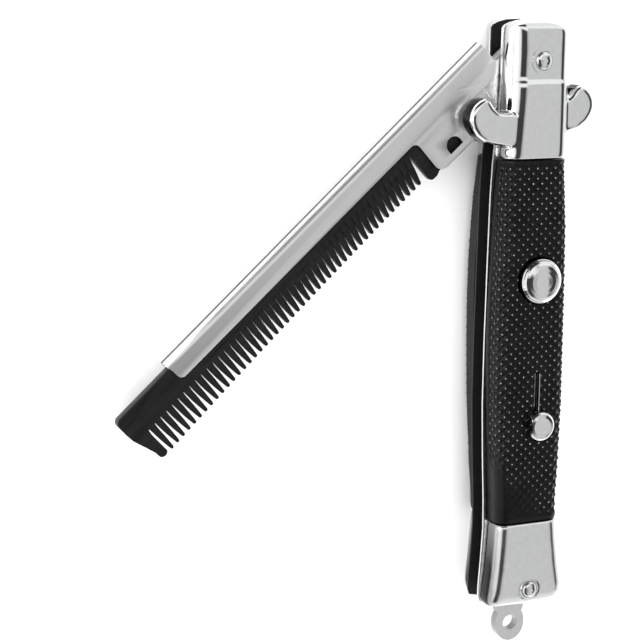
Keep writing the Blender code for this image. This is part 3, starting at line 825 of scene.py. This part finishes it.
def tooth_outline(number):
    """One tooth between two gaps, from its far side to its near one: fuller near its root."""
    near, far = gap_at(number - 1), gap_at(number)
    near_side, far_side = gap_side(near), gap_side(far)
    low = tip_out(near)
    tip = (near + far) / 2.0 + lean(near)
    points = [(far - far_side * ROOT_SHARE, root_out(far) + ROOT_LIFT)]
    for part in SIDE_PARTS:
        y = root_out(far) + (low + SIDE_END - root_out(far)) * part
        x = far - far_side + (tip + TIP_HALF - far + far_side) * part
        points.append((x + FAR_FULLNESS * math.sin(math.pi * part), y))
    for step in range(TIP_STEPS + 1):
        angle = math.radians(180.0 * step / TIP_STEPS)
        points.append((tip + TIP_WIDTH * math.cos(angle), low + TIP_ROUND - TIP_ROUND * math.sin(angle)))
    for part in reversed(SIDE_PARTS):
        y = root_out(near) + (low + SIDE_END - root_out(near)) * part
        x = near + near_side + (tip - TIP_HALF - near - near_side) * part
        points.append((x - NEAR_FULLNESS * math.sin(math.pi * part), y))
    points.append((near + near_side * ROOT_SHARE, root_out(near) + ROOT_LIFT))
    return points


def plastic_outline():
    """The comb's outline: the top edge, the far end, the teeth and the first, short block."""
    end = PLASTIC_END
    edge = [(PLASTIC_START, -3.3), (PLASTIC_START, PLASTIC_TOP), (94.3, PLASTIC_TOP)]
    edge += arc(end - 1.2, PLASTIC_TOP - 1.3, 1.2, 80.0, 0.0, 8)
    edge += [(end, 5.6), (end, 3.9), (end - 0.08, 2.9), (end - 0.4, 1.7), (end - 1.0, -0.3)]
    edge += [(end - 1.6, -2.5)]
    edge += arc(end - 2.6, -3.15, 1.03, 10.0, -150.0, 9)
    edge += [(LAST_GAP + 0.30, root_out(LAST_GAP) - 1.0), (LAST_GAP + 0.14, root_out(LAST_GAP) + 0.1)]
    for number in range(TOOTH_COUNT, 0, -1):
        edge += tooth_outline(number)
    edge += [(FIRST_GAP - 0.05, root_out(FIRST_GAP) + 0.1)]
    edge += [(FIRST_GAP - 0.25, 1.8), (FIRST_GAP - 0.25, -2.6)]
    edge += arc(FIRST_GAP - 1.25, -2.8, 0.95, -10.0, -90.0, 6)
    edge += [(FIRST_GAP - 2.1, -3.75), (FIRST_GAP - 2.7, -3.5), (FIRST_GAP - 3.1, -3.3)]
    return edge


def plastic_half(out):
    """Half the comb's thickness at a height."""
    thin_from = GROOVE_OUT - GROOVE_HALF
    if abs(out - GROOVE_OUT) < 0.05:
        return PLASTIC_HALF - GROOVE_DEPTH
    if out < thin_from + 0.05:
        fall = thin_from - min(out, thin_from)
        return PLASTIC_HALF - THIN_STEP - THIN_MORE * fall / (thin_from + THIN_OVER)
    return PLASTIC_HALF


def comb_plastic():
    """The black comb inside the spine."""
    loop = [(s, -o) for s, o in plastic_outline()]
    mesh = outline_mesh("comb_plastic", [loop], -PLASTIC_HALF, PLASTIC_HALF)
    work = bmesh.new()
    work.from_mesh(mesh)
    for level in (GROOVE_OUT + GROOVE_HALF, GROOVE_OUT, GROOVE_OUT - GROOVE_HALF, 1.5, -1.5):
        cut_across(work, -level, 0.000002)
    for vert in work.verts:
        vert.co.z = math.copysign(plastic_half(-vert.co.y / MM) * MM, vert.co.z)
    write_outward(work, mesh)
    obj = add_object("comb_plastic", mesh, comb_black)
    add_bevel(obj, 0.11, 60.0)
    apply_modifiers(obj)
    shade(obj, comb_black, 38.0)
    return obj


plastic = comb_plastic()
plastic.rotation_euler = (0.0, 0.0, COMB_TURN)
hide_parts("comb_teeth")
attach(plastic, "comb")


# Solids that show as they are.
CARRIED = (
    ("front_liner", liner_metal),
    ("rear_liner", shaded_rear_liner),
    ("back_spacer", spacer_metal),
    ("lanyard_lug", lug_metal),
    ("pivot_pin", bright),
    ("front_bottom_rivet", bright),
    ("rear_bottom_rivet", bright),
    ("slide_track", liner_metal),
    ("push_button", bright),
    ("slide_knob", bright),
)
for node_name, mat in CARRIED:
    dress(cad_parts[node_name], mat)


# Floor.
FLOOR_HALF = 1.5
FLOOR_DROP = -0.00002
FLOOR_TONE = (0.97, 0.97, 0.97, 1.0)

floor_mesh = bpy.data.meshes.new("floor")
floor_corners = [(-FLOOR_HALF, -FLOOR_HALF, 0.0), (FLOOR_HALF, -FLOOR_HALF, 0.0),
                 (FLOOR_HALF, FLOOR_HALF, 0.0), (-FLOOR_HALF, FLOOR_HALF, 0.0)]
floor_mesh.from_pydata(floor_corners, [], [(0, 1, 2, 3)])
floor = bpy.data.objects.new("floor", floor_mesh)
bpy.context.scene.collection.objects.link(floor)
floor.location.z = FLOOR_DROP
floor_mat, floor_tree, floor_shader = new_material("pale_floor")
floor_shader.inputs["Base Color"].default_value = FLOOR_TONE
floor_shader.inputs["Roughness"].default_value = 0.9
floor_shader.inputs["Specular IOR Level"].default_value = 0.1
floor.data.materials.append(floor_mat)


# The room that the metal mirrors: grey steps across the ceiling, with white walls all round.
CEILING = ((0.0, 1.0), (0.18, 1.0), (0.27, 0.05), (0.49, 0.05), (0.61, 0.55),
           (0.67, 0.66), (0.79, 0.64), (0.84, 0.05), (0.96, 0.05), (1.0, 0.9))
CEILING_FROM = (0.36, 0.54)
WALL_TONE = (0.95, 0.95, 0.95)
SIDES = (0.15, 0.30)

# A bright strip across the far end, nearer on the left.
LEFT_STRIP = (0.04, 0.14, 0.46, 0.56)
RIGHT_STRIP = (0.30, 0.42, 0.66, 0.78)
STRIP_TONE = (1.0, 1.0, 1.0)

# A dark strip past the bright one on the left, seen by the comb's fold.
DARK_STRIP = (0.50, 0.56, 0.90, 0.97)
DARK_FROM = (0.16, 0.28)
DARK_TONE = (0.04, 0.04, 0.04)


def window(tree, value, start, rise, fall, end):
    """1 between rise and fall, 0 before start and after end."""
    return math_node(tree, "MULTIPLY", spread(tree, value, start, rise, 0.0, 1.0),
                     spread(tree, value, fall, end, 1.0, 0.0))


def studio_world():
    """The world of soft bright and dark fields."""
    world = bpy.data.worlds.new("studio")
    bpy.context.scene.world = world
    world.use_nodes = True
    tree = world.node_tree
    coords = node(tree, "ShaderNodeTexCoord")
    x, y, z = split(tree, coords.outputs["Generated"])
    across = node(tree, "ShaderNodeValToRGB")
    tree.links.new(spread(tree, x, -1.0, 1.0, 0.0, 1.0), across.inputs["Fac"])
    ramp = across.color_ramp
    ramp.interpolation = "EASE"
    while len(ramp.elements) < len(CEILING):
        ramp.elements.new(0.5)
    for element, (position, level) in zip(ramp.elements, CEILING):
        element.position = position
        element.color = (level, level, level, 1.0)
    on_left = spread(tree, x, *SIDES, 1.0, 0.0)
    on_right = spread(tree, x, *SIDES, 0.0, 1.0)
    left_strip = math_node(tree, "MULTIPLY", on_left, window(tree, y, *LEFT_STRIP))
    right_strip = math_node(tree, "MULTIPLY", on_right, window(tree, y, *RIGHT_STRIP))
    strips = math_node(tree, "ADD", left_strip, right_strip)
    ceiling = mixed(tree, strips, across.outputs["Color"], STRIP_TONE)
    room = mixed(tree, spread(tree, z, *CEILING_FROM, 0.0, 1.0), WALL_TONE, ceiling)
    past = math_node(tree, "MULTIPLY", on_left, window(tree, y, *DARK_STRIP))
    dark = math_node(tree, "MULTIPLY", past, spread(tree, z, *DARK_FROM, 0.0, 1.0))
    background = tree.nodes["Background"]
    tree.links.new(mixed(tree, dark, room, DARK_TONE), background.inputs["Color"])
    background.inputs["Strength"].default_value = 1.0


def area_light(name, location, target, size, power, glossy=True):
    """A soft rectangular light aimed at a point."""
    data = bpy.data.lights.new(name, "AREA")
    data.shape = "RECTANGLE"
    data.size = size[0]
    data.size_y = size[1]
    data.energy = power
    obj = bpy.data.objects.new(name, data)
    bpy.context.scene.collection.objects.link(obj)
    obj.location = location
    obj.rotation_euler = (Vector(target) - Vector(location)).to_track_quat("-Z", "Y").to_euler()
    obj.visible_glossy = glossy


studio_world()
area_light("top_soft", (0.1, 0.1, 1.1), (-0.03, 0.0, 0.0), (2.4, 2.4), 30.0, glossy=False)
area_light("left_box", (-0.75, 0.15, 0.35), (0.0, 0.0, 0.0), (0.5, 0.35), 3.0)


# The camera, fitted to the photo: angles in degrees, focal length in pixels of the 640-wide frame.
CAMERA_YAW = 22.89
CAMERA_LIFT = 11.23
CAMERA_ROLL = 0.44
CAMERA_AIM = (-44.02, -49.88, 0.0)
CAMERA_DISTANCE = 0.3415
FOCAL_PIXELS = 1751.4
FRAME_PIXELS = 640.0
SENSOR_WIDTH = 36.0


def photo_camera():
    """The camera at the photo's viewing angle."""
    yaw, lift, roll = math.radians(CAMERA_YAW), math.radians(CAMERA_LIFT), math.radians(CAMERA_ROLL)
    away = Vector((-math.sin(yaw) * math.cos(lift), math.sin(lift), math.cos(yaw) * math.cos(lift)))
    right = Vector((math.cos(yaw), 0.0, math.sin(yaw)))
    up = away.cross(right)
    right_rolled = math.cos(roll) * right + math.sin(roll) * up
    up_rolled = -math.sin(roll) * right + math.cos(roll) * up
    aim = PIVOT + Vector(CAMERA_AIM) * MM
    data = bpy.data.cameras.new("camera")
    data.lens = SENSOR_WIDTH * FOCAL_PIXELS / FRAME_PIXELS
    data.sensor_width = SENSOR_WIDTH
    data.clip_start = 0.01
    camera = bpy.data.objects.new("camera", data)
    bpy.context.scene.collection.objects.link(camera)
    turn = Matrix((right_rolled, up_rolled, away)).transposed().to_4x4()
    camera.matrix_world = Matrix.Translation(aim + away * CAMERA_DISTANCE) @ turn
    bpy.context.scene.camera = camera
    bpy.context.scene.view_settings.view_transform = "Standard"


photo_camera()
